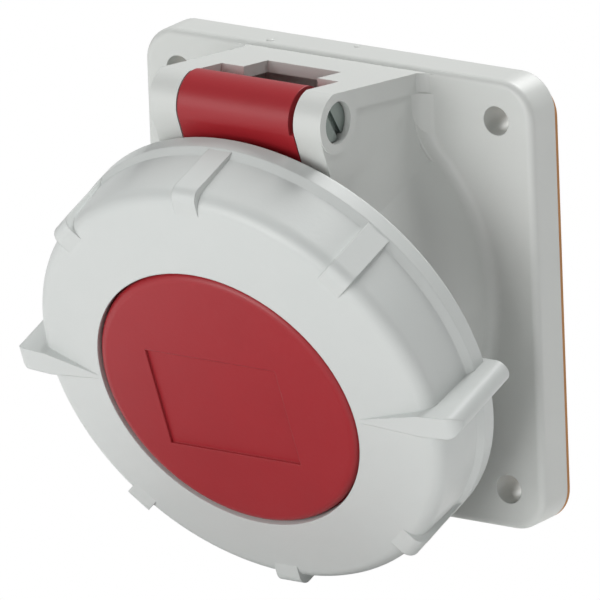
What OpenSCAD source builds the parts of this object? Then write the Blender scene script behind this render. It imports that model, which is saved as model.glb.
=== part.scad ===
// Angled five-pole panel socket with a hinged, ring-locked lid. Millimetres, +Z up.
// The panel lies in the plane y = 0, the socket faces -Y and its mouth tips downwards.
// Everything on the socket's own axis is drawn along local +Z and placed by on_axis().

/* [Flange] */
// Width of the square mounting flange
flange_w = 100; // [96:1:110]
// Height of the mounting flange
flange_h = 100; // [98:1:110]
// Depth of the flange from its front face to its back edge
flange_depth = 9; // [7:0.5:12]
// Radius of the flange's four corners
flange_corner_r = 8; // [5:0.5:9]
// Radius of the flange's front edge
flange_edge_r = 1.6; // [0.8:0.1:2.4]
// Thickness of the moulded walls of the flange
flange_wall = 3.4; // [2.4:0.1:4]
// Distance of each fixing hole from the flange's edges
hole_inset = 9; // [8:0.5:11]
// Diameter of each fixing hole
hole_d = 6.4; // [4.5:0.1:7]
// Thickness of the gasket behind the flange
gasket_t = 1.2; // [0.8:0.1:2]
// Distance of the gasket's top edge below the flange's
gasket_drop = 1.6; // [0.2:0.1:3]

/* [Collar] */
// Angle between the socket's axis and the panel's normal
tilt = 20; // [18:1:22]
// Height of the socket's axis where it leaves the flange's front face
axis_rise = 1.4; // [0:0.2:2]
// Room between the collar and the locking ring, for the bayonet and the lid's arm
ring_room = 9; // [8.9:0.1:9.4]
// Wall of the collar
collar_wall = 5; // [4.6:0.1:5.3]
// Length of the collar, along its axis, in front of the flange
collar_len = 36.5; // [35:0.5:40]
// Length of the round skirt that runs on behind the flange
skirt_len = 8; // [7.5:0.5:10]
// Width of the keyway at the bottom of the collar
keyway_w = 8; // [5:0.5:10]
// Depth of the keyway
keyway_depth = 2; // [1:0.1:2.4]

/* [Hinge bracket] */
// Width of the bracket over its two ears
bracket_w = 44.1; // [42:0.1:46]
// Width of the gap between the ears
bay_w = 30.2; // [28:0.1:32]
// Radius of the ears and of the lid's barrel
barrel_r = 6.8; // [6.2:0.1:7.2]
// Thickness of the bracket's top plate
plate_t = 2.6; // [2:0.1:3.5]
// Thickness of the bracket's side walls behind the ears
gusset_t = 3.2; // [2.4:0.1:4]
// Radius of the blend between the side walls and the collar
blend_r = 15; // [10:0.5:18]
// Radius of the fillet between the side walls and the flange
root_r = 4.5; // [3:0.5:6]
// Height of the plate's thickened edge over the side walls
edge_h = 4.4; // [3:0.2:5]
// Overhang of that edge beyond each side wall
edge_over = 0.35; // [0.2:0.05:0.6]
// Width of the window in the top plate
window_w = 19; // [14:0.5:24]
// Length of the window, measured back from the ears' bay
window_len = 9; // [6:0.5:11]
// Diameter of the hinge pin
pin_d = 4.8; // [4.4:0.1:5.2]
// Diameter of the pin's slotted head
pin_head_d = 8.8; // [7.5:0.1:9.4]

/* [Lid] */
// Step from the collar's bore in to the edge of the lid's disc
disc_step = 1.2; // [0.9:0.1:1.9]
// Height of the disc's face above the collar's lip
lid_rise = 11; // [10.4:0.1:12]
// Thickness of the disc
disc_t = 2.8; // [2:0.1:3.2]
// Width of the label recess
label_w = 33.4; // [24:0.2:36]
// Height of the label recess
label_h = 24.6; // [16:0.2:26]
// Depth of the label recess
label_depth = 0.6; // [0.3:0.1:1]
// Thickness of the lid's sealing ring
seal_t = 2.25; // [1.6:0.05:2.4]

/* [Locking ring] */
// Overhang of the ring's side wall beyond the top and the bottom of the flange
ring_over = 0.85; // [0.5:0.05:1.2]
// Projection of the ring's rear rim, and of its ribs, beyond that side wall
rim_lip = 1.05; // [0.65:0.05:1.6]
// Axial length of the ring
ring_len = 24.1; // [23.6:0.1:24.6]
// Thickness of the rear rim
rim_t = 4.4; // [3:0.1:5]
// Thickness of the ring's side wall at the rim
ring_wall = 3.45; // [3.25:0.05:3.65]
// Projection of each finger lug beyond the side wall
lug_reach = 6.15; // [4.15:0.25:8.15]
// Thickness of a finger lug
lug_t = 5.4; // [4:0.1:6.5]
// Width of a grip rib
rib_w = 6; // [4:0.1:7]
// Number of grip places round the ring, with the two lugs among them
grip_n = 8; // [4:2:12]
// Turn that locks the ring
lock_angle = 30; // [26:1:32]

/* [Contacts] */
// Space round the contact carrier, inside the collar
carrier_space = 6.2; // [5.9:0.1:6.9]
// Distance of the carrier's face below the collar's lip
carrier_drop = 5.5; // [3:0.5:8]
// Distance of the contacts' circle from the carrier's edge
contact_inset = 9.7; // [9.2:0.1:10.2]
// Bore of a phase or neutral sleeve
phase_bore = 6.1; // [5.6:0.1:6.4]
// Bore of the earth sleeve
earth_bore = 8.1; // [7.6:0.1:8.4]
// Wall of a contact sleeve
sleeve_wall = 1.6; // [1.2:0.1:1.8]
// Length of the terminal block behind the carrier
block_len = 27; // [24:0.5:29]
// Diameter of a terminal screw
terminal_screw_d = 4; // [3:0.1:4.4]

/* [Hidden] */
$fn = 96;

light_grey = [0.80, 0.81, 0.80];
signal_red = [0.62, 0.12, 0.14];
cut = 1;                                   // how far a cutter runs past the face it opens
slide_gap = 0.3;                           // clearance between bodies that move
snug_gap = 0.05;                           // clearance of a pin or sleeve in its hole

// Diameters, from the flange inwards: ring, collar, carrier, contacts
wall_d = flange_h + 2 * ring_over;
rim_d = wall_d + 2 * rim_lip;
lug_span = wall_d + 2 * lug_reach;
ring_bore = wall_d - 2 * ring_wall;
collar_d = ring_bore - 2 * ring_room;
collar_bore = collar_d - 2 * collar_wall;
disc_d = collar_bore - 2 * disc_step;
carrier_d = collar_bore - 2 * carrier_space;
contact_pcd = carrier_d - 2 * contact_inset;

// Flange
hole_pitch_x = flange_w - 2 * hole_inset;
hole_pitch_z = flange_h - 2 * hole_inset;
front_y = -(gasket_t + flange_depth);
boss_r = hole_d / 2 + flange_wall;

// Collar, in the axis frame: z = 0 is where the axis meets the flange's front face
collar_r = collar_d / 2;
bore_r = collar_bore / 2;
ledge_z = -3;                              // back of the ledge that the carrier seats on
ledge_t = 6;
ledge_r = carrier_d / 2 + 0.8;
cam_t = 4;                                 // bayonet cams on the collar
cam_h = 4.8;
cam_start = 16;

// Lid and ring, from the lip outwards
lid_face_z = collar_len + lid_rise;
disc_r = disc_d / 2;
disc_edge_r = 2;
ring_gap = 0.45;                           // annular gap between disc and ring
ring_front_r = disc_r + ring_gap;
ring_front_z = lid_face_z - 0.3;
ring_back_z = ring_front_z - ring_len;
rim_r = rim_d / 2;
wall_r = wall_d / 2;
ring_bore_r = ring_bore / 2;
corner_r = 4;                              // rounding between the ring's face and side wall
corner_x = wall_r - 0.55 - corner_r;       // centre of that rounding
corner_z = ring_front_z - 7.4;
face_run = [corner_x - ring_front_r, ring_front_z - corner_z];
face_turn = 180 - atan2(face_run[1], face_run[0]) - acos(corner_r / norm(face_run));
face_end = [corner_x + corner_r * cos(face_turn), corner_z + corner_r * sin(face_turn)];
rib_top = face_end[1] + 0.3;
ring_skin = 2.8;                           // thickness of the ring's front wall
under_end = [ring_bore_r - 2.8, corner_z + 1.9];
under_slope = (ring_front_z - ring_skin - under_end[1]) / (under_end[0] - ring_front_r);
function under_at(r) = under_end[1] + under_slope * (under_end[0] - r);
tab_t = 4;                                 // bayonet tabs inside the ring
tab_z = ring_back_z + 0.7;
tab_reach = 6.4;
tab_half = 9;                              // half of a tab's angle
clip_t = 1.4;
clip_w = 3.3;
plate_r = ring_bore_r - 0.6;               // rim of the lid's plate
plate_z = collar_len - 0.1;                // underside of that rim
clip_z = plate_z - 0.2 - clip_t;
groove_top = collar_len + 0.25 + seal_t;   // floor of the seal's groove
seal_in_r = bore_r - 0.3;
seal_out_r = collar_r + 0.5;
arm_half = bay_w / 2 - slide_gap;          // half width of the lid's arm
arm_in_r = collar_r + 4.2;
arm_t = 3.7;

// Hinge, in the axis frame and in the part's own
hinge_rise = 1;                            // hinge axis above the ring's rim
hinge_back = 2.2;                          // gap between the barrel and the ring
hinge_u = rim_r + hinge_rise;
hinge_n = ring_back_z - hinge_back - barrel_r;
hinge_y = front_y - hinge_n * cos(tilt) - hinge_u * sin(tilt);
hinge_z = axis_rise - hinge_n * sin(tilt) + hinge_u * cos(tilt);
plate_top = flange_h / 2 - 0.8;            // where the top plate meets the flange
bay_y = hinge_y + barrel_r + 4;            // back of the ears' bay
head_depth = 2.8;                          // recess of the pin's head in the right ear
head_t = 1.4;
spring_wire = 0.8;
spring_r = pin_d / 2 + spring_wire / 2 + 0.15;
spring_turns = 5;
barrel_short = 1;                          // gap for the spring's leg beside the barrel
spring_bore_r = spring_r + spring_wire / 2 + 0.5;
spring_well = 9.6;

// Contacts
contact_r = contact_pcd / 2;
carrier_r = carrier_d / 2;
carrier_face = collar_len - carrier_drop;
base_t = 4;                                // ring that clamps the carrier to its seat
clamp_lip = 1;                             // lip of that ring, between the carrier and the block
clamp_t = base_t / 2;
block_front = ledge_z - base_t;
block_back = block_front - block_len;
face_skin = 1.5;                           // wall in front of the sleeves
sleeve_front = carrier_face - face_skin;
sleeve_back = block_back + 2;
terminal_front = block_front - 3;          // where each sleeve ends and its terminal begins
wire_hole_r = 2.6;
wire_depth = 18;
stop_t = 2;                                // collar that traps each sleeve
screw_z = sleeve_back + 9;
base_screw_r = 1.5;
base_screw_circle = (carrier_r + bore_r) / 2 + 0.3;
base_screw_head_r = 2.4;
contact_angles = [270, 198, 126, 54, 342]; // earth, then the others clockwise

// ---------- frames and small shapes ----------

module on_axis() {
    translate([0, front_y, axis_rise]) rotate([90 + tilt, 0, 0]) children();
}

module at_contact(i) {
    rotate([0, 0, contact_angles[i]]) translate([contact_r, 0, 0]) children();
}

// A side view, drawn with y across and z up, given its width along X
module side_view(width) {
    rotate([90, 0, 90]) translate([0, 0, -width / 2]) linear_extrude(width) children();
}

// A tube's section turned through an angle that starts at a bearing
module arc(start, sweep, r_in, r_out, z_low, height) {
    rotate([0, 0, start]) rotate_extrude(angle = sweep)
        translate([r_in, z_low]) square([r_out - r_in, height]);
}

module washer(r_in, r_out, z_low, height) {
    translate([0, 0, z_low]) linear_extrude(height) difference() {
        circle(r_out);
        circle(r_in);
    }
}

module at_holes() {
    for (x = [-1, 1], z = [-1, 1])
        translate([x * hole_pitch_x / 2, 0, z * hole_pitch_z / 2]) rotate([90, 0, 0]) children();
}

module rounded_square(w, h, r) {
    union() {
        square([w - 2 * r, h], center = true);
        square([w, h - 2 * r], center = true);
        for (x = [-1, 1], y = [-1, 1]) translate([x * (w / 2 - r), y * (h / 2 - r)]) circle(r);
    }
}

// Section through the flange's edge: a band as wide as the corner radius, rounded at the front
module edge_section() {
    square([flange_corner_r, flange_depth - flange_edge_r]);
    square([flange_corner_r - flange_edge_r, flange_depth]);
    translate([flange_corner_r - flange_edge_r, flange_depth - flange_edge_r]) circle(flange_edge_r);
}

// ---------- flange and collar ----------

// The flange's outer block, with its back on the gasket and a rounded front edge
module flange_block() {
    inner_w = flange_w - 2 * flange_corner_r;
    inner_h = flange_h - 2 * flange_corner_r;
    translate([0, -gasket_t, 0]) rotate([90, 0, 0]) {
        translate([-inner_w / 2, -inner_h / 2, 0]) cube([inner_w, inner_h, flange_depth]);
        for (side = [0, 180]) rotate([0, 0, side]) {
            translate([inner_w / 2, inner_h / 2, 0]) rotate([90, 0, 0])
                linear_extrude(inner_h) edge_section();
            translate([-inner_w / 2, inner_h / 2, 0]) rotate([90, 0, 90])
                linear_extrude(inner_w) edge_section();
            translate([inner_w / 2, inner_h / 2, 0]) rotate_extrude(angle = 90) edge_section();
            translate([-inner_w / 2, inner_h / 2, 0]) rotate([0, 0, 90])
                rotate_extrude(angle = 90) edge_section();
        }
    }
}

// The hollow behind the flange's front wall: it leaves the rim, the screw bosses and the collar
module flange_hollow() {
    difference() {
        rotate([90, 0, 0]) translate([0, 0, -cut])
            linear_extrude(cut + gasket_t + flange_depth - flange_wall) rounded_square(
                flange_w - 2 * flange_wall, flange_h - 2 * flange_wall, flange_corner_r - flange_wall);
        at_holes() translate([0, 0, -cut]) cylinder(r = boss_r, h = flange_depth + gasket_t + 2 * cut);
    }
}

// Everything inside the collar's outer surface, to cut what butts against it
module collar_core() {
    on_axis() translate([0, 0, -flange_w]) cylinder(r = collar_r, h = 2 * flange_w);
}

module flange() {
    color(light_grey) difference() {
        flange_block();
        flange_hollow();
        collar_core();
        at_holes() cylinder(r = hole_d / 2, h = 2 * flange_depth + gasket_t);
    }
}

// Collar with a rounded lip
module collar_tube() {
    lip_r = 1;
    rotate_extrude() {
        translate([0, -skirt_len]) square([collar_r, skirt_len + collar_len - lip_r]);
        square([collar_r - lip_r, collar_len]);
        translate([collar_r - lip_r, collar_len - lip_r]) circle(lip_r);
    }
}

// ---------- hinge bracket ----------

blend_sink = 0.1;                          // a blend ends this far inside what it runs into
wall_half = bracket_w / 2 - edge_over;     // half width over the side walls

// Cross-section of the bracket along the axis: two side walls blended into the round collar
module bracket_section() {
    half = wall_half;
    blend_x = half + blend_r;
    blend_u = sqrt(pow(collar_r + blend_r - blend_sink, 2) - pow(blend_x, 2));
    touch = collar_r / (collar_r + blend_r);
    translate([-half, 0]) square([2 * half, flange_h]);
    for (side = [0, 1]) mirror([side, 0]) difference() {
        polygon([[0, 0], [half, blend_u], [blend_x, blend_u], [touch * blend_x, touch * blend_u]]);
        translate([blend_x, blend_u]) circle(blend_r);
    }
}

// Height of the top plate's upper face at a place y. It cuts a flat across the top of the ears
crest_turn = 18;                           // how far past its tangent point the flat reaches
ear_run = front_y - hinge_y;
ear_drop = plate_top - hinge_z;
ear_turn = atan2(ear_drop, ear_run) + acos(barrel_r / norm([ear_run, ear_drop])) + crest_turn;
ear_top = [hinge_y + barrel_r * cos(ear_turn), hinge_z + barrel_r * sin(ear_turn)];
plate_slope = (ear_top[1] - plate_top) / (ear_top[0] - front_y);
function plate_at(y) = plate_top + plate_slope * (y - front_y);
plate_back = front_y + flange_edge_r;      // the plate runs on over the flange's rounded edge

// Side view of the ears, the top plate and the walls under it
module bracket_side() {
    nose = [hinge_y - barrel_r * cos(tilt), hinge_z - barrel_r * sin(tilt)];
    foot = nose + hinge_u * [sin(tilt), -cos(tilt)];
    difference() {
        union() {
            polygon([[plate_back, plate_at(plate_back)], [hinge_y, plate_at(hinge_y)],
                [hinge_y, hinge_z], nose, foot, [plate_back, foot[1]]]);
            translate([hinge_y, hinge_z]) circle(barrel_r);
        }
        above_plate();
    }
}

module above_plate() {
    polygon([[plate_back + cut, plate_at(plate_back + cut)], [plate_back + cut, 2 * flange_h],
        [-flange_h, 2 * flange_h], [-flange_h, plate_at(-flange_h)]]);
}

// Side view of the thickened edge: the ears and a band under the top plate
module edge_side() {
    difference() {
        union() {
            polygon([[plate_back, plate_at(plate_back)], [hinge_y, plate_at(hinge_y)],
                [hinge_y, plate_at(hinge_y) - edge_h], [plate_back, plate_at(plate_back) - edge_h]]);
            translate([hinge_y, hinge_z]) circle(barrel_r);
        }
        above_plate();
    }
}

// Upright fillets in the corners between the side walls and the flange
module root_fillets(half, radius) {
    for (side = [0, 1]) mirror([side, 0, 0]) linear_extrude(flange_h) difference() {
        translate([half - cut, front_y - radius]) square([radius + cut, radius + cut]);
        translate([half + radius - blend_sink, front_y - radius + blend_sink]) circle(radius);
        translate([half + radius - blend_sink, front_y - radius]) square([2 * radius, 2 * radius]);
        translate([0, front_y - 2 * radius]) square([2 * half + 2 * radius, radius + blend_sink]);
    }
}

module bracket_solid() {
    intersection() {
        on_axis() translate([0, 0, -flange_h / 2]) linear_extrude(flange_h) bracket_section();
        side_view(2 * collar_d) bracket_side();
    }
    side_view(bracket_w) edge_side();
    difference() {
        root_fillets(wall_half, root_r);
        side_view(2 * collar_d) polygon([[front_y - 2 * root_r, plate_at(front_y - 2 * root_r) - edge_h],
            [0, plate_at(0) - edge_h], [0, 2 * flange_h], [front_y - 2 * root_r, 2 * flange_h]]);
    }
    difference() {
        root_fillets(bracket_w / 2, root_r - 1.5);
        side_view(2 * collar_d) above_plate();
        side_view(2 * collar_d) polygon([[front_y - 2 * root_r, plate_at(front_y - 2 * root_r) - edge_h],
            [0, plate_at(0) - edge_h], [0, -flange_h], [front_y - 2 * root_r, -flange_h]]);
    }
}

// The open space between the ears, the hollow under the top plate and the window through it
module bracket_space() {
    side_view(bay_w) polygon([[bay_y, 0], [bay_y, flange_h], [-flange_h, flange_h], [-flange_h, 0]]);
    side_view(2 * (wall_half - gusset_t)) polygon([[front_y, plate_at(front_y) - plate_t],
        [bay_y - cut, plate_at(bay_y - cut) - plate_t], [bay_y - cut, 0], [front_y, 0]]);
    translate([-window_w / 2, bay_y - cut, 0]) cube([window_w, window_len + cut, flange_h]);
}

module hinge_bracket() {
    color(light_grey) difference() {
        bracket_solid();
        bracket_space();
        flange_block();
        collar_core();
        translate([0, hinge_y, hinge_z]) rotate([0, 90, 0]) {
            translate([0, 0, -bracket_w / 2 + 1]) cylinder(r = pin_d / 2, h = bracket_w);
            translate([0, 0, bracket_w / 2 - head_depth]) cylinder(r = pin_head_d / 2 + 0.25, h = flange_w);
        }
    }
}

module collar() {
    color(light_grey) on_axis() difference() {
        union() {
            collar_tube();
            for (side = [-cam_start, 180 - cam_start])
                arc(side - lock_angle, lock_angle, collar_r - cut, collar_r + cam_h,
                    tab_z + tab_t + slide_gap, cam_t);
        }
        translate([0, 0, -skirt_len - cut]) cylinder(r = bore_r, h = skirt_len + collar_len + 2 * cut);
        translate([-keyway_w / 2, -bore_r - keyway_depth, ledge_z + ledge_t])
            cube([keyway_w, bore_r, collar_len]);
    }
}

// Step inside the collar that the contact carrier's ring screws against
module carrier_seat() {
    color(light_grey) on_axis() difference() {
        washer(ledge_r, bore_r, ledge_z, ledge_t);
        base_screw_places() translate([0, 0, ledge_z - cut])
            cylinder(r = base_screw_r, h = ledge_t - 1 + cut);
    }
}

module flange_gasket() {
    opening_r = collar_r + 2;
    opening_z = axis_rise + 2.2;
    color([0.72, 0.50, 0.30]) difference() {
        translate([0, 0, -gasket_drop / 2]) rotate([90, 0, 0]) linear_extrude(gasket_t)
            rounded_square(flange_w - 0.4, flange_h - gasket_drop, flange_corner_r - 0.2);
        translate([0, cut, opening_z]) rotate([90, 0, 0]) cylinder(r = opening_r, h = gasket_t + 2 * cut);
        at_holes() translate([0, 0, -cut]) cylinder(r = hole_d / 2, h = gasket_t + 2 * cut);
    }
}

// ---------- hinge ----------

module hinge_pin() {
    head_face = bracket_w / 2 - head_depth + head_t;
    slot_w = 1.5;
    slot_depth = 0.9;
    slot_turn = 32;
    color([0.42, 0.45, 0.45]) translate([0, hinge_y, hinge_z]) rotate([0, 90, 0]) difference() {
        union() {
            translate([0, 0, -bracket_w / 2 + 1.5])
                cylinder(r = pin_d / 2 - snug_gap, h = bracket_w - 1.5 - head_depth);
            translate([0, 0, head_face - head_t]) cylinder(r = pin_head_d / 2, h = head_t);
        }
        rotate([0, 0, slot_turn]) translate([-pin_head_d, -slot_w / 2, head_face - slot_depth])
            cube([2 * pin_head_d, slot_w, 2 * slot_depth]);
    }
}

// Points of the torsion spring's wire: a coil round the pin, then a straight leg to the plate
spring_left = arm_half - barrel_short - spring_well + slide_gap + spring_wire / 2;
leg_x = arm_half - barrel_short + barrel_short / 2 + 0.2;
coil_step = 20;
coil_n = spring_turns * 360 / coil_step;
leg_y = bay_y + 4;
leg_z = plate_at(leg_y) - plate_t - spring_wire / 2 - 0.15;
function coil_point(i) = [
    spring_left + (leg_x - spring_left) * i / coil_n,
    hinge_y + spring_r * sin(coil_step * i),
    hinge_z + spring_r * cos(coil_step * i)];
spring_path = concat([for (i = [0:coil_n]) coil_point(i)], [[leg_x, leg_y, leg_z]]);

// A round wire swept along a path, closed at both ends
module wire(path, radius, sides = 8) {
    n = len(path);
    rings = [for (i = [0:n - 1])
        let (ahead = path[min(i + 1, n - 1)] - path[max(i - 1, 0)],
            t = ahead / norm(ahead),
            a = cross(t, [1, 0.2, 0.1]), u = a / norm(a), v = cross(t, u))
        for (k = [0:sides - 1]) path[i] + radius * (cos(360 * k / sides) * u + sin(360 * k / sides) * v)];
    walls = [for (i = [0:n - 2], k = [0:sides - 1])
        let (j = (k + 1) % sides)
        [i * sides + k, (i + 1) * sides + k, (i + 1) * sides + j, i * sides + j]];
    polyhedron(rings, concat(walls, [[for (k = [0:sides - 1]) k]],
        [[for (k = [sides - 1:-1:0]) (n - 1) * sides + k]]), convexity = 10);
}

module hinge_spring() {
    color([0.60, 0.62, 0.62]) wire(spring_path, spring_wire / 2);
}

// ---------- lid ----------

// Half section of the lid's disc, its sloping shoulder and the groove for the seal
module lid_section() {
    shoulder_r = plate_r - 2.6;
    hollow_r = disc_r - disc_t;
    polygon([[0, lid_face_z - disc_t], [hollow_r, lid_face_z - disc_t], [hollow_r, collar_len + 0.4],
        [seal_in_r - 0.2, collar_len + 0.4], [seal_in_r - 0.2, groove_top], [seal_out_r + 0.2, groove_top],
        [seal_out_r + 0.2, plate_z], [plate_r, plate_z], [plate_r, corner_z - 1.2],
        [shoulder_r, under_at(shoulder_r) - slide_gap], [disc_r, under_at(disc_r) - slide_gap],
        [disc_r, lid_face_z - disc_edge_r], [disc_r - disc_edge_r, lid_face_z - disc_edge_r],
        [disc_r - disc_edge_r, lid_face_z], [0, lid_face_z]]);
    intersection() {
        translate([disc_r - disc_edge_r, lid_face_z - disc_edge_r]) circle(disc_edge_r);
        square([disc_r, lid_face_z]);
    }
}

// Arm from the lid's plate, back under the ring and out behind it to the barrel
module lid_arm() {
    back_z = ring_back_z - hinge_back - arm_t;
    intersection() {
        translate([0, 0, back_z]) linear_extrude(plate_z + 2 - back_z) difference() {
            circle(plate_r - 0.1);
            circle(arm_in_r);
        }
        translate([-arm_half, 0, 0]) cube([2 * arm_half, flange_h, lid_face_z]);
    }
    translate([0, 0, back_z]) linear_extrude(arm_t) difference() {
        translate([-arm_half, 0]) square([2 * arm_half, hinge_u]);
        circle(arm_in_r);
    }
    translate([-arm_half, hinge_u, hinge_n]) rotate([0, 90, 0])
        cylinder(r = barrel_r, h = 2 * arm_half - barrel_short);
}

module lid() {
    color(signal_red) on_axis() difference() {
        union() {
            rotate_extrude() lid_section();
            lid_arm();
        }
        translate([-label_w / 2 - 1.8, -label_h / 2 - 2.1, lid_face_z - label_depth])
            cube([label_w, label_h, 2 * label_depth]);
        translate([0, hinge_u, hinge_n]) rotate([0, 90, 0]) {
            translate([0, 0, -bracket_w]) cylinder(r = pin_d / 2, h = 2 * bracket_w);
            translate([0, 0, arm_half - barrel_short - spring_well])
                cylinder(r = spring_bore_r, h = bracket_w);
        }
    }
}

module lid_seal() {
    color([0.10, 0.10, 0.11]) on_axis()
        washer(seal_in_r, seal_out_r, groove_top - seal_t, seal_t);
}

// ---------- locking ring ----------

// Half section of the ring: sloping face, rounded corner, side wall, ledge and rear rim
module ring_section() {
    ledge_low = ring_back_z + rim_t;
    ledge_high = ledge_low + 1.9;
    slot_in = ring_bore_r + 1.3;
    difference() {
        union() {
            polygon([[ring_front_r, ring_back_z], [ring_front_r, ring_front_z], face_end,
                [corner_x, corner_z], [corner_x + corner_r, corner_z], [wall_r, ledge_high],
                [rim_r, ledge_low], [rim_r, ring_back_z + 1], [rim_r - 1, ring_back_z]]);
            translate([corner_x, corner_z]) circle(corner_r);
        }
        polygon([[ring_front_r - cut, ring_back_z - cut], [ring_bore_r, ring_back_z - cut],
            [ring_bore_r, clip_z - 0.1], [slot_in, clip_z - 0.1], [slot_in, clip_z + clip_t + 0.1],
            [ring_bore_r, clip_z + clip_t + 0.1], [ring_bore_r, corner_z - 1.1],
            under_end, [ring_front_r - cut, under_at(ring_front_r - cut)]]);
    }
}

// Side view of a grip rib, flush with the rim and rounded over the ring's corner
module rib_side() {
    nose_r = 2.8;
    nose_z = rib_top - nose_r;
    rib_r = rim_r - 0.2;
    root_r = wall_r - 1.2;
    skin_z = under_end[1] + 1;
    translate([root_r, ring_back_z + 2]) square([rib_r - root_r, nose_z - ring_back_z - 2]);
    translate([rib_r - nose_r, nose_z]) circle(nose_r);
    translate([corner_x - 2.5, skin_z]) square([rib_r - nose_r - corner_x + 2.5, rib_top - skin_z]);
}

// Side view of a finger lug: a straight crest across the ring's face, then a rounded corner
module lug_side() {
    lug_r = lug_span / 2;
    nose_r = 4;
    nose_z = ring_front_z - 2.1 - nose_r;
    crest_r = ring_front_r + 0.8;
    root_r = ring_bore_r + 1.8;
    translate([root_r, ring_back_z]) square([lug_r - root_r, nose_z - ring_back_z]);
    translate([lug_r - nose_r, nose_z]) circle(nose_r);
    polygon([[crest_r, ring_front_z - 0.2], [lug_r - nose_r, nose_z + nose_r], [lug_r - nose_r, nose_z],
        [root_r, nose_z], [ring_bore_r - 3, corner_z + 3], [crest_r, ring_front_z - 1.5]]);
}

// Plan of a lug: its crest narrows to nothing at the disc, and its tip is round
module lug_plan() {
    tip_r = lug_t / 2;
    polygon([[ring_front_r, 0.3], [wall_r - 3, tip_r], [lug_span / 2 - tip_r, tip_r],
        [lug_span / 2 - tip_r, -tip_r], [wall_r - 3, -tip_r], [ring_front_r, -0.3]]);
    translate([lug_span / 2 - tip_r, 0]) circle(tip_r);
}

module lid_ring() {
    color(light_grey) on_axis() {
        rotate_extrude() ring_section();
        for (k = [0:grip_n - 1]) rotate([0, 0, k * 360 / grip_n]) {
            if (k % (grip_n / 2) == 0) intersection() {
                rotate([90, 0, 0]) translate([0, 0, -lug_t]) linear_extrude(2 * lug_t) lug_side();
                linear_extrude(lid_face_z) lug_plan();
            }
            else rotate([90, 0, 0]) translate([0, 0, -rib_w / 2]) linear_extrude(rib_w) rib_side();
        }
        for (side = [-tab_half, 180 - tab_half])
            arc(side, 2 * tab_half, ring_bore_r - tab_reach, ring_bore_r + 1, tab_z, tab_t);
    }
}

// Split ring, snapped into the locking ring behind the lid's plate; its gap clears the arm
module ring_clip() {
    arm_turn = asin(arm_half / arm_in_r) + 2;
    color([0.30, 0.31, 0.32]) on_axis() arc(90 + arm_turn + lock_angle,
        360 - 2 * arm_turn - lock_angle, ring_bore_r + 1.1 - clip_w, ring_bore_r + 1.1, clip_z, clip_t);
}

// ---------- contacts ----------

module base_screw_places() {
    for (k = [0:2]) rotate([0, 0, 90 + k * 120]) translate([base_screw_circle, 0, 0]) children();
}

function sleeve_bore_r(i) = (i == 0 ? earth_bore : phase_bore) / 2;
function sleeve_r(i) = sleeve_bore_r(i) + sleeve_wall;

module contact_carrier() {
    color([0.16, 0.16, 0.17]) on_axis() difference() {
        rotate_extrude() {
            translate([0, block_front]) square([carrier_r - clamp_lip, clamp_t + cut]);
            translate([0, block_front + clamp_t])
                square([carrier_r, carrier_face - 1 - block_front - clamp_t]);
            square([carrier_r - 1, carrier_face]);
            translate([carrier_r - 1, carrier_face - 1]) circle(1);
        }
        for (i = [0:4]) at_contact(i) {
            translate([0, 0, block_front - cut])
                cylinder(r = sleeve_r(i) + snug_gap, h = sleeve_front - block_front + cut);
            cylinder(r = sleeve_bore_r(i) + 0.3, h = carrier_face + cut);
        }
        translate([0, 0, carrier_face - 3]) cylinder(r = 3.2, h = 3 + cut);
    }
}

// Ring behind the seat: its lip lies between the carrier and the terminal block
module retaining_ring() {
    color([0.24, 0.24, 0.25]) on_axis() difference() {
        union() {
            washer(carrier_r + snug_gap, bore_r - snug_gap, block_front, base_t);
            washer(carrier_r - clamp_lip + snug_gap, carrier_r + cut, block_front, clamp_t);
        }
        base_screw_places() translate([0, 0, block_front - cut])
            cylinder(r = base_screw_r + snug_gap, h = base_t + 2 * cut);
    }
}

module terminal_block() {
    color([0.24, 0.24, 0.25]) on_axis() difference() {
        translate([0, 0, block_back]) cylinder(r = carrier_r, h = block_len);
        for (i = [0:4]) at_contact(i) {
            translate([0, 0, block_back - cut]) cylinder(r = wire_hole_r + 0.6, h = block_len);
            translate([0, 0, sleeve_back]) cylinder(r = sleeve_r(i) + snug_gap, h = block_len);
            translate([0, 0, block_front - stop_t]) cylinder(r = sleeve_r(i) + 1.5, h = stop_t + cut);
            translate([0, 0, screw_z]) rotate([0, 90, 0])
                cylinder(r = terminal_screw_d / 2 + 0.6, h = carrier_r);
        }
        translate([0, 0, block_back - cut]) cylinder(r = 5, h = 8 + cut);
    }
}

// Contact sleeve for the plug's pin, with the collar that the carrier and the block trap
module sleeve(i) {
    color([0.78, 0.62, 0.30]) on_axis() at_contact(i) difference() {
        union() {
            translate([0, 0, terminal_front]) cylinder(r = sleeve_r(i), h = sleeve_front - terminal_front);
            translate([0, 0, block_front - stop_t + snug_gap]) cylinder(r = sleeve_r(i) + 1.4,
                h = stop_t - 2 * snug_gap);
        }
        translate([0, 0, terminal_front - cut])
            cylinder(r = sleeve_bore_r(i), h = sleeve_front - terminal_front + 2 * cut);
    }
}

// Terminal behind a sleeve: bored for the wire, with a cross hole for its screw
module terminal(i) {
    color([0.72, 0.56, 0.28]) on_axis() at_contact(i) difference() {
        translate([0, 0, sleeve_back]) cylinder(r = sleeve_r(i), h = terminal_front - sleeve_back);
        translate([0, 0, sleeve_back - cut]) cylinder(r = wire_hole_r, h = wire_depth + cut);
        translate([0, 0, screw_z]) rotate([0, 90, 0]) cylinder(r = terminal_screw_d / 2, h = 2 * sleeve_r(i));
    }
}

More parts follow.
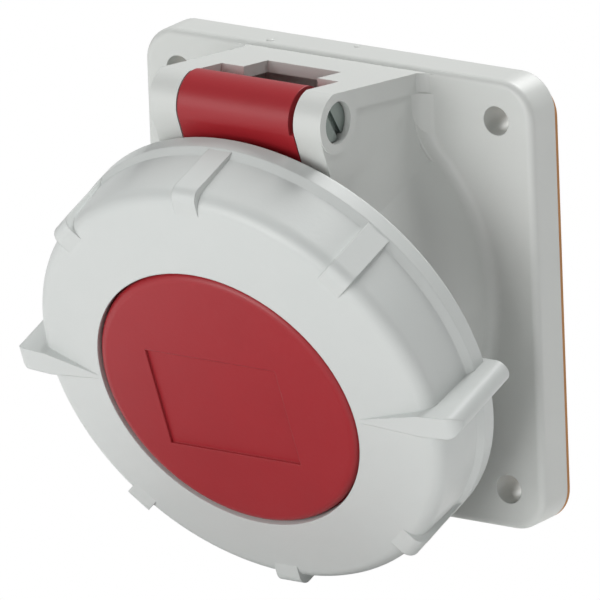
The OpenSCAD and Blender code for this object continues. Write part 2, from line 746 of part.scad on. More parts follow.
module terminal_screw(i) {
    length = carrier_r - contact_r - 1.5;
    tip = wire_hole_r + 0.2;
    color([0.66, 0.67, 0.66]) on_axis() at_contact(i) translate([0, 0, screw_z]) rotate([0, 90, 0])
        difference() {
            translate([0, 0, tip]) cylinder(r = terminal_screw_d / 2 - snug_gap, h = length - tip);
            translate([-terminal_screw_d, -0.4, length - 0.9]) cube([2 * terminal_screw_d, 0.8, 2]);
        }
}

module carrier_screw(k) {
    head_t = 1.8;
    color([0.66, 0.67, 0.66]) on_axis() rotate([0, 0, 90 + k * 120])
        translate([base_screw_circle, 0, block_front - head_t]) difference() {
            union() {
                cylinder(r = base_screw_head_r, h = head_t);
                cylinder(r = base_screw_r - snug_gap, h = head_t + base_t + ledge_t - 2);
            }
            translate([-base_screw_head_r, -0.4, -cut]) cube([2 * base_screw_head_r, 0.8, 0.9 + cut]);
        }
}

flange();
collar();
carrier_seat();
hinge_bracket();
flange_gasket();
hinge_pin();
hinge_spring();
lid();
lid_seal();
lid_ring();
ring_clip();
contact_carrier();
retaining_ring();
terminal_block();
sleeve(0);  // earth_sleeve
sleeve(1);  // phase_sleeve_1
sleeve(2);  // phase_sleeve_2
sleeve(3);  // phase_sleeve_3
sleeve(4);  // neutral_sleeve
terminal(0);  // earth_terminal
terminal(1);  // phase_terminal_1
terminal(2);  // phase_terminal_2
terminal(3);  // phase_terminal_3
terminal(4);  // neutral_terminal
terminal_screw(0);  // terminal_screw_1
terminal_screw(1);  // terminal_screw_2
terminal_screw(2);  // terminal_screw_3
terminal_screw(3);  // terminal_screw_4
terminal_screw(4);  // terminal_screw_5
carrier_screw(0);  // carrier_screw_1
carrier_screw(1);  // carrier_screw_2
carrier_screw(2);  // carrier_screw_3
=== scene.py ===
"""Looks of an angled panel socket: its finishes, moulded root fillet, spring, studio and camera."""

import logging
import math
from dataclasses import dataclass, field, replace
from enum import Enum
from typing import Any, Sequence

import bpy
import numpy as np
from mathutils import Matrix, Vector

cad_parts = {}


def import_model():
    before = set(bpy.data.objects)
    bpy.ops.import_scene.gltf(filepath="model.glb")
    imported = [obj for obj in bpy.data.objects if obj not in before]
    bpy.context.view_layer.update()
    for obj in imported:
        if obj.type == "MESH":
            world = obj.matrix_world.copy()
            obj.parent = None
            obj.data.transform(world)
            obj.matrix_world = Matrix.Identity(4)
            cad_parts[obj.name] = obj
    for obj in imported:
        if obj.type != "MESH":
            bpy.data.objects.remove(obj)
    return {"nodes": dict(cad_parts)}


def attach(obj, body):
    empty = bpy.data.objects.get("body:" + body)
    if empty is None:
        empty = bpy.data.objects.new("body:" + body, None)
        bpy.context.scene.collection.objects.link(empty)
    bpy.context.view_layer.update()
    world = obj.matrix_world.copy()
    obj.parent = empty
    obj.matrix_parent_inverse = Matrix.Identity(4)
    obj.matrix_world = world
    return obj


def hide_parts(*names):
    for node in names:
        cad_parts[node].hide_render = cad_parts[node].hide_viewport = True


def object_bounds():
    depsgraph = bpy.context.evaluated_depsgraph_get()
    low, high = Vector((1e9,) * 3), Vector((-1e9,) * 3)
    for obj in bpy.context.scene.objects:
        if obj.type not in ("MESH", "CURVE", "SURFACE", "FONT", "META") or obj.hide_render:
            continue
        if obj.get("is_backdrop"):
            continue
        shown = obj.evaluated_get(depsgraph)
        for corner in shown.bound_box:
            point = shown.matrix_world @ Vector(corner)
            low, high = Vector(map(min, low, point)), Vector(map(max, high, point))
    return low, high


logging.basicConfig(level=logging.INFO, format="%(message)s")
LOG = logging.getLogger("panel_socket")

MM = 0.001


class Body(str, Enum):
    """The rigid bodies that pieces ride on."""

    SOCKET = "socket"
    LID = "lid"
    RING = "ring"


class Slot(str, Enum):
    """The record's material slots."""

    GREY = "grey"
    RED = "red"
    GASKET = "gasket"
    SEAL = "seal"
    STEEL = "steel"
    INSULATOR = "insulator"
    BRASS = "brass"
    CLIP = "clip"


# ---------------------------------------------------------------- colours and node helpers


def linear(red: int, green: int, blue: int) -> tuple[float, float, float, float]:
    """Turns a display colour into the linear one that shaders take.

    Args:
        red: Red from 0 to 255.
        green: Green from 0 to 255.
        blue: Blue from 0 to 255.

    Returns:
        The colour in linear light, with an alpha of 1.
    """
    display = np.array([red, green, blue], float) / 255.0
    low = display / 12.92
    high = ((display + 0.055) / 1.055) ** 2.4
    r, g, b = np.where(display <= 0.04045, low, high)
    return float(r), float(g), float(b), 1.0


class NodeSheet:
    """A node tree with short calls for adding nodes, setting sockets and joining them."""

    def __init__(self, tree: bpy.types.NodeTree) -> None:
        """Keeps the tree and the place of the next node.

        Args:
            tree: The material's or the group's node tree.
        """
        self.tree = tree
        self.column = 0

    def add(self, kind: str, **sockets: Any) -> bpy.types.Node:
        """Adds a node and sets its inputs.

        Args:
            kind: The node's type name.
            **sockets: Input values, with "_" in a name for a space.

        Returns:
            The new node.
        """
        node = self.tree.nodes.new(kind)
        node.location = (self.column * 190.0, 0.0)
        self.column += 1
        for name, value in sockets.items():
            node.inputs[name.replace("_", " ")].default_value = value
        return node

    def math(self, operation: str, first: Any, second: Any = None, clamp: bool = False) -> Any:
        """Adds a Math node.

        Args:
            operation: The operation's name.
            first: A socket or a number.
            second: A socket or a number, where the operation takes two.
            clamp: Whether the result is kept between 0 and 1.

        Returns:
            The node's output socket.
        """
        node = self.add("ShaderNodeMath")
        node.operation = operation
        node.use_clamp = clamp
        for index, value in enumerate((first, second)):
            if value is None:
                continue
            if isinstance(value, (int, float)):
                node.inputs[index].default_value = value
            else:
                self.join(value, node.inputs[index])
        return node.outputs[0]

    def mix(self, factor: Any, first: Any, second: Any, blend: str = "MIX") -> Any:
        """Adds a colour mix.

        Args:
            factor: A socket or a number.
            first: A socket or a colour.
            second: A socket or a colour.
            blend: The blend's name.

        Returns:
            The node's colour output.
        """
        node = self.add("ShaderNodeMix")
        node.data_type = "RGBA"
        node.blend_type = blend
        for name, value in (("Factor_Float", factor), ("A_Color", first), ("B_Color", second)):
            socket = next(s for s in node.inputs if s.identifier == name)
            if isinstance(value, (int, float, tuple)):
                socket.default_value = value
            else:
                self.join(value, socket)
        return next(s for s in node.outputs if s.identifier == "Result_Color")

    def join(self, start: Any, end: Any) -> None:
        """Links an output socket to an input socket."""
        self.tree.links.new(start, end)


# ---------------------------------------------------------------- shared surface effects


class SurfaceEffects:
    """The shader node groups that the finishes share, each built once."""

    def __init__(self) -> None:
        """Builds the two groups."""
        self.grain = self._grain_group()
        self.handling = self._handling_group()

    @staticmethod
    def _group(name: str, inputs: Sequence[tuple[str, str, Any]], outputs: Sequence[tuple[str, str]]
               ) -> tuple[bpy.types.NodeTree, NodeSheet, Any, Any]:
        """Makes an empty group with its sockets.

        Args:
            name: The group's name.
            inputs: A name, a socket type and a default for each input.
            outputs: A name and a socket type for each output.

        Returns:
            The tree, a sheet to work on it, and its input and output nodes.
        """
        tree = bpy.data.node_groups.new(name, "ShaderNodeTree")
        for label, kind, default in inputs:
            socket = tree.interface.new_socket(name=label, in_out="INPUT", socket_type=kind)
            socket.default_value = default
        for label, kind in outputs:
            tree.interface.new_socket(name=label, in_out="OUTPUT", socket_type=kind)
        sheet = NodeSheet(tree)
        return tree, sheet, sheet.add("NodeGroupInput"), sheet.add("NodeGroupOutput")

    def _grain_group(self) -> bpy.types.NodeTree:
        """Fine moulded grain: two noises of different size, added, as a height and a mask.

        Returns:
            The group.
        """
        tree, sheet, given, result = self._group(
            "moulded_grain",
            (("Size", "NodeSocketFloat", 900.0), ("Waviness", "NodeSocketFloat", 0.35)),
            (("Height", "NodeSocketFloat"), ("Mask", "NodeSocketFloat")),
        )
        place = sheet.add("ShaderNodeTexCoord")
        fine = sheet.add("ShaderNodeTexNoise", Detail=3.0, Roughness=0.6)
        sheet.join(place.outputs["Object"], fine.inputs["Vector"])
        sheet.join(given.outputs["Size"], fine.inputs["Scale"])
        broad = sheet.add("ShaderNodeTexNoise", Detail=2.0, Roughness=0.5)
        sheet.join(place.outputs["Object"], broad.inputs["Vector"])
        sheet.join(sheet.math("MULTIPLY", given.outputs["Size"], 0.05), broad.inputs["Scale"])
        waves = sheet.math("MULTIPLY", broad.outputs["Fac"], given.outputs["Waviness"])
        sheet.join(sheet.math("ADD", fine.outputs["Fac"], waves), result.inputs["Height"])
        sheet.join(broad.outputs["Fac"], result.inputs["Mask"])
        return tree

    def _handling_group(self) -> bpy.types.NodeTree:
        """Uneven sheen from handling: a soft noise that spreads roughness about its mean.

        Returns:
            The group.
        """
        tree, sheet, given, result = self._group(
            "handling_sheen",
            (("Mean Roughness", "NodeSocketFloat", 0.4), ("Spread", "NodeSocketFloat", 0.08),
             ("Patch Size", "NodeSocketFloat", 60.0)),
            (("Roughness", "NodeSocketFloat"), ("Shade", "NodeSocketFloat")),
        )
        place = sheet.add("ShaderNodeTexCoord")
        patch = sheet.add("ShaderNodeTexNoise", Detail=4.0, Roughness=0.55)
        sheet.join(place.outputs["Object"], patch.inputs["Vector"])
        sheet.join(given.outputs["Patch Size"], patch.inputs["Scale"])
        centred = sheet.math("SUBTRACT", patch.outputs["Fac"], 0.5)
        spread = sheet.math("MULTIPLY", centred, given.outputs["Spread"])
        rough = sheet.math("ADD", spread, given.outputs["Mean Roughness"], clamp=True)
        sheet.join(rough, result.inputs["Roughness"])
        sheet.join(patch.outputs["Fac"], result.inputs["Shade"])
        return tree

    def place(self, sheet: NodeSheet, tree: bpy.types.NodeTree, **values: float) -> bpy.types.Node:
        """Puts a group into a material.

        Args:
            sheet: The material's sheet.
            tree: The group.
            **values: Input values, with "_" in a name for a space.

        Returns:
            The group's node.
        """
        node = sheet.add("ShaderNodeGroup")
        node.node_tree = tree
        for name, value in values.items():
            node.inputs[name.replace("_", " ")].default_value = value
        return node


# ---------------------------------------------------------------- finishes


@dataclass(frozen=True)
class Finish:
    """One finish: its colour, its sheen and the grain that the mould or the tool leaves.

    Attributes:
        name: The material's name.
        colour: Display colour, 0 to 255 each.
        shade: Display colour of the faintly different patches.
        roughness: Mean roughness.
        spread: How far the roughness strays.
        grain_size: Scale of the fine grain.
        grain_depth: Depth of the grain, in metres.
        metal: 1 for a metal and 0 for the rest.
        gloss: Specular level.
        soft_edge: Radius that the edges catch light over, in metres.
    """

    name: str
    colour: tuple[int, int, int]
    shade: tuple[int, int, int]
    roughness: float = 0.4
    spread: float = 0.08
    grain_size: float = 900.0
    grain_depth: float = 0.00002
    metal: float = 0.0
    gloss: float = 0.5
    soft_edge: float = 0.0004

    def build(self, effects: SurfaceEffects) -> bpy.types.Material:
        """Makes the material: base colour patches, handling sheen and grain over rounded edges.

        Args:
            effects: The shared groups.

        Returns:
            The material.
        """
        material = bpy.data.materials.new(self.name)
        material.use_nodes = True
        tree = material.node_tree
        tree.nodes.clear()
        sheet = NodeSheet(tree)
        sheen = effects.place(sheet, effects.handling, Mean_Roughness=self.roughness, Spread=self.spread)
        grain = effects.place(sheet, effects.grain, Size=self.grain_size)
        tone = sheet.mix(sheen.outputs["Shade"], linear(*self.colour), linear(*self.shade))
        edge = sheet.add("ShaderNodeBevel", Radius=self.soft_edge)
        edge.samples = 6
        bump = sheet.add("ShaderNodeBump", Strength=1.0, Distance=self.grain_depth)
        sheet.join(grain.outputs["Height"], bump.inputs["Height"])
        sheet.join(edge.outputs["Normal"], bump.inputs["Normal"])
        shader = sheet.add("ShaderNodeBsdfPrincipled", Metallic=self.metal)
        shader.inputs["Specular IOR Level"].default_value = self.gloss
        sheet.join(tone, shader.inputs["Base Color"])
        sheet.join(sheen.outputs["Roughness"], shader.inputs["Roughness"])
        sheet.join(bump.outputs["Normal"], shader.inputs["Normal"])
        result = sheet.add("ShaderNodeOutputMaterial")
        sheet.join(shader.outputs["BSDF"], result.inputs["Surface"])
        return material


LIGHT_GREY = Finish("light_grey_moulding", (212, 214, 211), (206, 209, 206), roughness=0.42)
RING_GREY = Finish("light_grey_ring_moulding", (211, 214, 212), (205, 209, 207), roughness=0.38)
SIGNAL_RED = Finish("signal_red_moulding", (163, 34, 42), (155, 31, 39), roughness=0.40,
                    grain_depth=0.00003)
CELL_RUBBER = Finish("orange_brown_cell_rubber", (196, 146, 98), (180, 128, 82), roughness=0.9,
                     grain_size=1400.0, grain_depth=0.00015, gloss=0.25, soft_edge=0.0002)
BLACK_RUBBER = Finish("black_sealing_rubber", (30, 30, 32), (38, 38, 40), roughness=0.7, gloss=0.35)
ZINC_STEEL = Finish("zinc_plated_steel", (150, 158, 154), (128, 137, 134), roughness=0.34,
                    metal=1.0, grain_depth=0.00001, soft_edge=0.00015)
SPRING_STEEL = Finish("spring_steel", (172, 172, 168), (146, 147, 145), roughness=0.28,
                      metal=1.0, grain_depth=0.000004, soft_edge=0.0001)
DARK_INSULATOR = Finish("dark_glass_filled_insulator", (42, 43, 45), (50, 51, 53), roughness=0.55)
TURNED_BRASS = Finish("turned_brass", (214, 178, 104), (196, 158, 86), roughness=0.26, metal=1.0,
                      grain_depth=0.000006, soft_edge=0.0002)
ROOT_GREY = replace(LIGHT_GREY, name="light_grey_root_fillet", soft_edge=0.0)
CLIP_PLASTIC = Finish("dark_clip_plastic", (74, 76, 78), (66, 68, 70), roughness=0.5)


class FinishBook:
    """Builds each finish once and gives it to pieces."""

    def __init__(self, effects: SurfaceEffects) -> None:
        """Keeps the shared groups and an empty store.

        Args:
            effects: The shared groups.
        """
        self.effects = effects
        self.made: dict[str, bpy.types.Material] = {}

    def give(self, piece: bpy.types.Object, finish: Finish) -> None:
        """Puts a finish into every material slot of a piece.

        Args:
            piece: The piece to dress.
            finish: The finish that it takes.
        """
        if finish.name not in self.made:
            self.made[finish.name] = finish.build(self.effects)
        material = self.made[finish.name]
        if not piece.material_slots:
            piece.data.materials.append(material)
        for place in piece.material_slots:
            place.material = material


# ---------------------------------------------------------------- meshes


def piece_from_grid(name: str, points: np.ndarray, closed_u: bool, closed_v: bool) -> bpy.types.Object:
    """Makes a piece from a grid of points, with flat caps on open ends.

    Each cell (i, j) becomes the quad (i, j), (i+1, j), (i+1, j+1), (i, j+1), counted round where
    that direction closes. Where only v closes, the first and last rows are capped.

    Args:
        name: The piece's name.
        points: Points as an array of rows, columns and three coordinates, in metres.
        closed_u: Whether the last row joins the first.
        closed_v: Whether the last column joins the first.

    Returns:
        The new object, at the origin.
    """
    rows, columns = points.shape[:2]
    index = np.arange(rows * columns).reshape(rows, columns)
    first = index if closed_u else index[:-1]
    after = np.roll(index, -1, axis=0) if closed_u else index[1:]
    if closed_v:
        quads = np.stack([first, after, np.roll(after, -1, 1), np.roll(first, -1, 1)], axis=-1)
    else:
        quads = np.stack([first[:, :-1], after[:, :-1], after[:, 1:], first[:, 1:]], axis=-1)
    faces = quads.reshape(-1, 4).tolist()
    if closed_v and not closed_u:
        faces += [index[0].tolist(), index[-1, ::-1].tolist()]
    mesh = bpy.data.meshes.new(name)
    mesh.from_pydata(points.reshape(-1, 3).tolist(), [], faces)
    mesh.validate()
    mesh.shade_smooth()
    piece = bpy.data.objects.new(name, mesh)
    bpy.context.scene.collection.objects.link(piece)
    return piece


def button(name: str, centre: tuple[float, float, float], radius: float, height: float) -> bpy.types.Object:
    """Makes a low round button that stands on a level face, with its foot sunk in that face.

    The profile is a quarter ellipse: at the share s of a right angle, the circle's radius is the
    radius times cos s and its height the height times sin s.

    Args:
        name: The piece's name.
        centre: Middle of the foot, on the face.
        radius: Radius of the foot.
        height: Height of the top over the face.

    Returns:
        The new object.
    """
    share = np.linspace(-0.2, 0.98, 12) * np.pi / 2.0
    angle = np.linspace(0.0, 2.0 * np.pi, 28, endpoint=False)
    across = radius * np.cos(share)[:, None]
    grid = np.stack([across * np.cos(angle), across * np.sin(angle),
                     np.broadcast_to(height * np.sin(share)[:, None], (len(share), len(angle)))], axis=-1)
    return piece_from_grid(name, grid + np.array(centre), closed_u=False, closed_v=True)


def tube_along(path: np.ndarray, radius: float, sides: int = 14) -> np.ndarray:
    """Sweeps a circle along a path.

    At each point, the tangent is the central difference of the path. Two unit vectors across it
    carry the circle: radius times (cos a along the first plus sin a along the second).

    Args:
        path: Points of the centre line.
        radius: The circle's radius.
        sides: Points round the circle.

    Returns:
        A grid of points, one row for each path point.
    """
    tangent = np.gradient(path, axis=0)
    tangent /= np.linalg.norm(tangent, axis=1, keepdims=True)
    across = np.cross(tangent, np.array([1.0, 0.2, 0.1]))
    across /= np.linalg.norm(across, axis=1, keepdims=True)
    other = np.cross(tangent, across)
    angle = np.linspace(0.0, 2.0 * np.pi, sides, endpoint=False)
    ring = np.cos(angle)[None, :, None] * across[:, None] + np.sin(angle)[None, :, None] * other[:, None]
    return path[:, None] + radius * ring


@dataclass(frozen=True)
class SocketAxis:
    """The socket's own tilted frame: x across, u up in the lid's plane, n out of the mouth.

    Attributes:
        tilt: Angle between the axis and the panel's normal, in degrees.
        front: Distance of the flange's front face from the panel.
        rise: Height of the axis at that face.
    """

    tilt: float = 20.0
    front: float = 10.2 * MM
    rise: float = 1.4 * MM

    @property
    def up(self) -> np.ndarray:
        """Unit vector up the lid's plane."""
        turn = math.radians(self.tilt)
        return np.array([0.0, -math.sin(turn), math.cos(turn)])

    @property
    def out(self) -> np.ndarray:
        """Unit vector out of the mouth."""
        turn = math.radians(self.tilt)
        return np.array([0.0, -math.cos(turn), -math.sin(turn)])

    @property
    def origin(self) -> np.ndarray:
        """Where the axis leaves the flange's front face."""
        return np.array([0.0, -self.front, self.rise])

    def point(self, x: np.ndarray, u: np.ndarray, n: np.ndarray) -> np.ndarray:
        """Turns the frame's coordinates into the part's.

        Args:
            x: Distances across.
            u: Distances up the lid's plane.
            n: Distances along the axis.

        Returns:
            Points as an array with a last axis of three.
        """
        x, u, n = np.broadcast_arrays(x, u, n)
        across = np.array([1.0, 0.0, 0.0])
        return self.origin + x[..., None] * across + u[..., None] * self.up + n[..., None] * self.out


# ---------------------------------------------------------------- sub-assemblies


@dataclass
class Housing:
    """Flange, collar and hinge bracket in one moulding, with the gasket behind it.

    Attributes:
        book: The finishes.
        nodes: The part's own pieces by name.
        axis: The socket's frame.
        collar_radius: Outer radius of the collar.
        wall_half: Half width of the bracket over its side walls.
        blend_radius: Radius of the blend from the side walls to the collar.
        fillet: Radius of the moulded fillet where the collar and walls meet the flange.
        plate_under: Height at which the fillet ends below the bracket's top plate.
        tuck: Width of the strip beside the fillet that runs on under each surface it touches.
    """

    book: FinishBook
    nodes: dict[str, bpy.types.Object]
    axis: SocketAxis = field(default_factory=SocketAxis)
    collar_radius: float = 38.4 * MM
    wall_half: float = 21.7 * MM
    blend_radius: float = 15.0 * MM
    fillet: float = 2.6 * MM
    plate_under: float = 44.5 * MM
    tuck: float = 1.0 * MM

    def outline(self) -> tuple[np.ndarray, np.ndarray]:
        """Runs down one side wall, round its blend and the collar, and up the other wall.

        The wall is a straight line at the half width. The blend is an arc about a centre that is
        its radius beyond the wall and the two radii added from the axis. The collar is an arc
        about the axis. The second half mirrors the first.

        Returns:
            Points and outward unit normals in the frame's x and u, in metres.
        """
        centre_x = self.wall_half + self.blend_radius
        centre_u = math.sqrt((self.collar_radius + self.blend_radius) ** 2 - centre_x**2)
        top = (self.plate_under - self.axis.rise) * math.cos(math.radians(self.axis.tilt))
        wall_u = np.linspace(top, centre_u, 24, endpoint=False)
        wall = np.stack([np.full_like(wall_u, self.wall_half), wall_u], axis=1)
        wall_normal = np.tile([1.0, 0.0], (len(wall_u), 1))
        toward = math.atan2(centre_u, centre_x)
        turn = np.linspace(math.pi, math.pi + toward, 40, endpoint=False)
        ray = np.stack([np.cos(turn), np.sin(turn)], axis=1)
        blend = np.array([centre_x, centre_u]) + self.blend_radius * ray
        bearing = np.linspace(toward, -math.pi / 2, 110)
        out = np.stack([np.cos(bearing), np.sin(bearing)], axis=1)
        points = np.concatenate([wall, blend, self.collar_radius * out])
        normals = np.concatenate([wall_normal, -ray, out])
        mirrored = np.array([-1.0, 1.0])
        points = np.concatenate([points, points[-2::-1] * mirrored])
        normals = np.concatenate([normals, normals[-2::-1] * mirrored])
        return points, normals

    def root_fillet(self) -> bpy.types.Object:
        """Builds the concave fillet where the collar and the side walls leave the flange.

        A ball of the fillet's radius rolls along the outline and rests on the flange: its centre
        is the outline moved out by the radius, at that depth in front of the flange. The section
        is the arc between the two places it touches. A strip runs on from each end of the arc,
        sinking a little into the surface there, and a corner sunk in the moulding closes it.

        Returns:
            The piece.
        """
        flat, normal = self.outline()
        centre_flat = flat + self.fillet * normal
        tilt = math.radians(self.axis.tilt)
        depth = -(centre_flat[:, 1] * math.sin(tilt) - self.fillet) / math.cos(tilt)
        centre = self.axis.point(centre_flat[:, 0], centre_flat[:, 1], depth)
        side = np.zeros_like(centre)
        side[:, 0] = -normal[:, 0]
        side -= normal[:, 1:2] * self.axis.up
        back = np.array([0.0, 1.0, 0.0])
        between = np.arccos(np.clip(side @ back, -1.0, 1.0))[:, None]
        share = np.linspace(0.0, 1.0, 9)[None, :]
        first = np.sin((1.0 - share) * between) / np.sin(between)
        second = np.sin(share * between) / np.sin(between)
        arc = centre[:, None] + self.fillet * (first[..., None] * side[:, None] + second[..., None] * back)
        sink = 0.25 * MM
        corner = centre + (self.fillet + sink) * (side + back)
        over_side = self._strip_end(arc[:, 0], side, np.broadcast_to(back, side.shape))
        over_back = self._strip_end(arc[:, -1], np.broadcast_to(back, side.shape), side)
        grid = np.concatenate([over_side[:, None], arc, over_back[:, None], corner[:, None]], axis=1)
        return piece_from_grid("collar_root_fillet", grid, closed_u=False, closed_v=True)

    def _strip_end(self, touch: np.ndarray, inward: np.ndarray, other: np.ndarray) -> np.ndarray:
        """Finds the far edge of a strip that runs on from the fillet under the surface it touches.

        The strip leaves the other surface: its direction is minus the other inward vector with
        the part along this one taken away, made a unit vector.

        Args:
            touch: Points where the fillet touches the surface.
            inward: Unit vectors into that surface.
            other: Unit vectors into the other surface.

        Returns:
            Points of the strip's far edge.
        """
        along = (other * inward).sum(axis=1, keepdims=True) * inward - other
        along /= np.linalg.norm(along, axis=1, keepdims=True)
        return touch + self.tuck * along + 0.06 * self.tuck * inward

    def build(self) -> None:
        """Dresses the moulding and the gasket and adds the fillet."""
        self.book.give(self.nodes["flange"], LIGHT_GREY)
        for name in ("collar", "carrier_seat", "hinge_bracket"):
            self.book.give(self.nodes[name], ROOT_GREY)
        self.book.give(self.nodes["flange_gasket"], CELL_RUBBER)
        added = (
            self.root_fillet(),
            button("ejector_pip", (-18.7 * MM, -7.4 * MM, 50.0 * MM), 0.9 * MM, 0.35 * MM),
            button("gate_stub", (0.7 * MM, -3.0 * MM, 50.0 * MM), 0.6 * MM, 0.3 * MM),
        )
        for piece in added:
            self.book.give(piece, ROOT_GREY)
            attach(piece, Body.SOCKET.value)
            LOG.info("housing: %s", piece.name)


@dataclass
class Hinge:
    """Slotted hinge pin with a torsion spring coiled round it.

    Attributes:
        book: The finishes.
        nodes: The part's own pieces by name.
        centre: The hinge axis in y and z.
        coil_radius: Mean radius of the coil.
        wire_radius: Radius of the spring's wire.
        turns: Number of turns.
        left: Where the coil starts, across.
        leg_x: Where the coil ends and the leg runs back, across.
        leg_end: End of the leg in y and z.
    """

    book: FinishBook
    nodes: dict[str, bpy.types.Object]
    centre: tuple[float, float] = (-41.5425 * MM, 46.2873 * MM)
    coil_radius: float = 2.95 * MM
    wire_radius: float = 0.4 * MM
    turns: int = 5
    left: float = 4.9 * MM
    leg_x: float = 14.5 * MM
    leg_end: tuple[float, float] = (-26.7425 * MM, 47.960 * MM)

    def spring(self) -> bpy.types.Object:
        """Builds the coil and its leg as one wire.

        The coil's centre line is a helix about the pin: x grows evenly with the angle, y is the
        radius times its sine and z the radius times its cosine. The leg is a straight run from
        the helix's end to the underside of the top plate.

        Returns:
            The piece.
        """
        angle = np.linspace(0.0, 2.0 * np.pi * self.turns, 48 * self.turns)
        share = angle / angle[-1]
        helix = np.stack([
            self.left + (self.leg_x - self.left) * share,
            self.centre[0] + self.coil_radius * np.sin(angle),
            self.centre[1] + self.coil_radius * np.cos(angle),
        ], axis=1)
        end = np.array([self.leg_x, *self.leg_end])
        run = np.linspace(0.0, 1.0, 16)[1:, None]
        leg = helix[-1] + run * (end - helix[-1])
        grid = tube_along(np.concatenate([helix, leg]), self.wire_radius)
        return piece_from_grid("torsion_spring", grid, closed_u=False, closed_v=True)

    def build(self) -> None:
        """Dresses the pin and puts the finely wound spring in place of the plain one."""
        self.book.give(self.nodes["hinge_pin"], ZINC_STEEL)
        self.book.give(self.nodes["hinge_spring"], SPRING_STEEL)
        spring = self.spring()
        self.book.give(spring, SPRING_STEEL)
        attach(spring, Body.SOCKET.value)
        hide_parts("hinge_spring")
        LOG.info("hinge: pin and %s", spring.name)


@dataclass
class LidAndRing:
    """Red lid with its sealing ring, and the grey locking ring that turns on it.

    Attributes:
        book: The finishes.
        nodes: The part's own pieces by name.
    """

    book: FinishBook
    nodes: dict[str, bpy.types.Object]

    def build(self) -> None:
        """Dresses the lid, the seal, the ring and its clip."""
        for name, finish in (("lid", SIGNAL_RED), ("lid_seal", BLACK_RUBBER),
                             ("lid_ring", RING_GREY), ("ring_clip", CLIP_PLASTIC)):
            self.book.give(self.nodes[name], finish)
            LOG.info("lid and ring: %s", name)


@dataclass
class ContactInsert:
    """Insulating carrier and terminal block with the contacts and their screws.

    Attributes:
        book: The finishes.
        nodes: The part's own pieces by name.
    """

    book: FinishBook
    nodes: dict[str, bpy.types.Object]

    def build(self) -> None:
        """Dresses the insulators in black, sleeves and terminals in brass, screws in steel."""
        for name, node in sorted(self.nodes.items()):
            if name in ("contact_carrier", "retaining_ring", "terminal_block"):
                self.book.give(node, DARK_INSULATOR)
            elif name.startswith(("earth_", "phase_", "neutral_")):
                self.book.give(node, TURNED_BRASS)
            elif "_screw_" in name:
                self.book.give(node, ZINC_STEEL)
            else:
                continue
            LOG.info("insert: %s", name)


# ---------------------------------------------------------------- studio


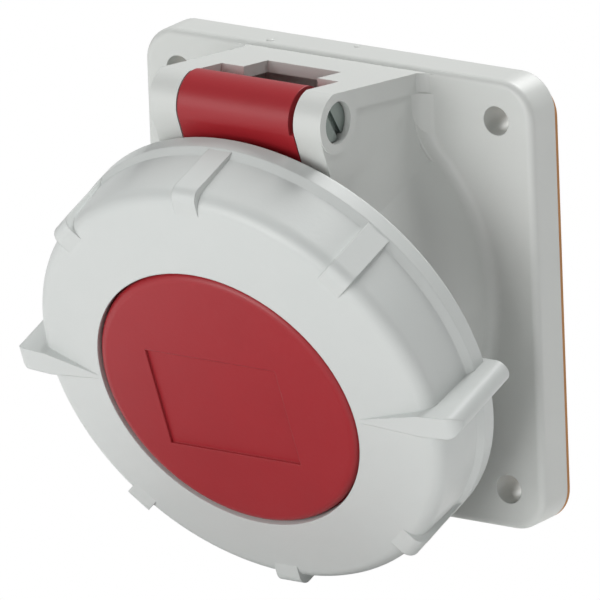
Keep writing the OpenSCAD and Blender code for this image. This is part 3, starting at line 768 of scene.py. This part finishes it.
@dataclass
class Studio:
    """Pale floor, soft lamps, white surroundings and the camera.

    Attributes:
        floor_gap: Distance of the floor below the part.
        floor_size: Half width of the floor.
    """

    floor_gap: float = 0.001
    floor_size: float = 30.0

    def floor(self, low: float) -> None:
        """Lays a flat floor under the part: pure white to the camera, pale and matt to the rest.

        Args:
            low: Height of the part's lowest point.
        """
        half = self.floor_size
        level = low - self.floor_gap
        mesh = bpy.data.meshes.new("floor")
        mesh.from_pydata([(-half, -half, level), (half, -half, level), (half, half, level),
                          (-half, half, level)], [], [(0, 1, 2, 3)])
        piece = bpy.data.objects.new("floor", mesh)
        bpy.context.scene.collection.objects.link(piece)
        piece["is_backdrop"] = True
        material = bpy.data.materials.new("pale_floor")
        material.use_nodes = True
        material.node_tree.nodes.clear()
        sheet = NodeSheet(material.node_tree)
        matt = sheet.add("ShaderNodeBsdfDiffuse", Color=(0.88, 0.88, 0.88, 1.0))
        glow = sheet.add("ShaderNodeEmission", Color=(1.0, 1.0, 1.0, 1.0), Strength=1.0)
        ray = sheet.add("ShaderNodeLightPath")
        blend = sheet.add("ShaderNodeMixShader")
        sheet.join(ray.outputs["Is Camera Ray"], blend.inputs[0])
        sheet.join(matt.outputs[0], blend.inputs[1])
        sheet.join(glow.outputs[0], blend.inputs[2])
        result = sheet.add("ShaderNodeOutputMaterial")
        sheet.join(blend.outputs[0], result.inputs["Surface"])
        mesh.materials.append(material)

    def surroundings(self) -> None:
        """Sets an even grey light all round that looks white to the camera and in reflections."""
        world = bpy.data.worlds.new("studio")
        bpy.context.scene.world = world
        world.use_nodes = True
        world.node_tree.nodes.clear()
        sheet = NodeSheet(world.node_tree)
        ray = sheet.add("ShaderNodeLightPath")
        seen = sheet.math("MAXIMUM", ray.outputs["Is Camera Ray"], ray.outputs["Is Transmission Ray"])
        shine = sheet.math("MULTIPLY", ray.outputs["Is Glossy Ray"], 0.15)
        strength = sheet.math("ADD", sheet.math("MULTIPLY", seen, 0.75), 0.25)
        strength = sheet.math("ADD", strength, shine)
        light = sheet.add("ShaderNodeBackground", Color=(1.0, 1.0, 1.0, 1.0))
        sheet.join(strength, light.inputs["Strength"])
        result = sheet.add("ShaderNodeOutputWorld")
        sheet.join(light.outputs[0], result.inputs["Surface"])

    def lamp(self, name: str, bearing: float, height: float, distance: float, size: float,
             power: float) -> None:
        """Hangs a square soft lamp that looks at the part.

        Args:
            name: The lamp's name.
            bearing: Angle round the part in degrees, 0 in front of the panel and 90 at +X.
            height: Angle above the horizon in degrees.
            distance: Distance from the part.
            size: Width of the lamp.
            power: Power in watts.
        """
        turn, lift = math.radians(bearing), math.radians(height)
        back = Vector((math.sin(turn) * math.cos(lift), -math.cos(turn) * math.cos(lift), math.sin(lift)))
        data = bpy.data.lights.new(name, "AREA")
        data.shape = "SQUARE"
        data.size = size
        data.energy = power
        piece = bpy.data.objects.new(name, data)
        piece.matrix_world = Matrix.Translation(back * distance) @ back.to_track_quat("Z", "Y").to_matrix().to_4x4()
        bpy.context.scene.collection.objects.link(piece)

    def camera(self) -> None:
        """Sets the long lens that looks down on the part from its right.

        The camera stands back from the aim point along a direction given by a bearing and a
        height, level, and then rolls a little about its own axis.
        """
        bearing, height, roll = math.radians(35.073), math.radians(17.05), math.radians(2.142)
        aim = Vector((-10.913, -11.114, -6.010)) * MM
        distance, lens = 4.8158, 1349.5
        back = Vector((math.sin(bearing) * math.cos(height), -math.cos(bearing) * math.cos(height),
                       math.sin(height)))
        right = Vector((math.cos(bearing), math.sin(bearing), 0.0))
        up = back.cross(right)
        turned_right = right * math.cos(roll) - up * math.sin(roll)
        turned_up = back.cross(turned_right)
        turn = Matrix((turned_right, turned_up, back)).transposed().to_4x4()
        data = bpy.data.cameras.new("camera")
        data.lens = lens
        data.sensor_width = 36.0
        data.clip_start, data.clip_end = 0.1, 60.0
        piece = bpy.data.objects.new("camera", data)
        piece.matrix_world = Matrix.Translation(aim + back * distance) @ turn
        bpy.context.scene.collection.objects.link(piece)
        bpy.context.scene.camera = piece

    def build(self, low: float) -> None:
        """Builds the floor, the light and the camera.

        Args:
            low: Height of the part's lowest point.
        """
        bpy.context.scene.view_settings.view_transform = "Standard"
        self.floor(low)
        self.surroundings()
        self.lamp("left_lamp", -25.0, 12.0, 2.4, 1.4, 12.1)
        self.lamp("front_lamp", 0.0, 6.0, 2.4, 1.4, 29.9)
        self.lamp("rear_lamp", 175.0, 52.0, 2.2, 1.0, 45.5)
        self.camera()
        LOG.info("studio: floor, lamps and camera")


def main() -> None:
    """Builds the looks round the part's own solids, in order."""
    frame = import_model()
    solid_box = [list(corner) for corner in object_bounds()]
    book = FinishBook(SurfaceEffects())
    nodes = frame["nodes"]
    Studio().build(solid_box[0][2])
    Housing(book, nodes).build()
    Hinge(book, nodes).build()
    LidAndRing(book, nodes).build()
    ContactInsert(book, nodes).build()


if __name__ == "__main__":
    main()
